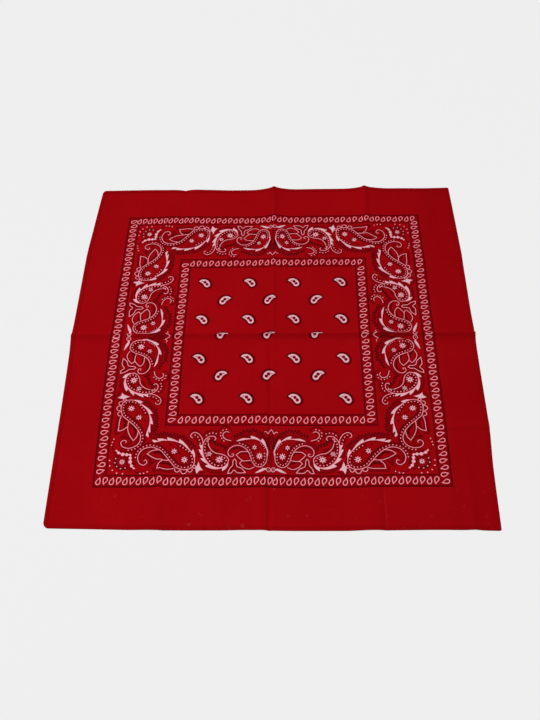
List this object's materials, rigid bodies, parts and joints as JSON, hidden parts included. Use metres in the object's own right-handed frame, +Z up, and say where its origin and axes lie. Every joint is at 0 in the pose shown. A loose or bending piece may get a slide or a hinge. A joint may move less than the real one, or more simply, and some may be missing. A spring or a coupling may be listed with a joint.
{
  "type": "bandana",
  "caption": "Square cotton bandana with narrow hems, laid flat with its packing creases, printed with a paisley border.",
  "frame": {"origin": "on the surface it lies on, below the middle of the cloth", "axes": "+X to the right and +Y to the back, along the sides of the square, seen with the front hem nearest; +Z up, out of the printed face"},
  "size_m": [0.5506, 0.5463, 0.0096],
  "materials": {
    "red_cotton": "matt plain-weave cotton, dyed red",
    "white_print": "matt undyed cotton left white by the print",
    "dark_print": "matt black print on the cotton",
    "red_thread": "red sewing thread of the hems"
  },
  "bodies": {
    "root": {"cloth": "red_cotton", "hem_left": "red_cotton", "hem_right": "red_cotton", "hem_front": "red_cotton", "hem_back": "red_cotton"}
  },
  "joints": []
}
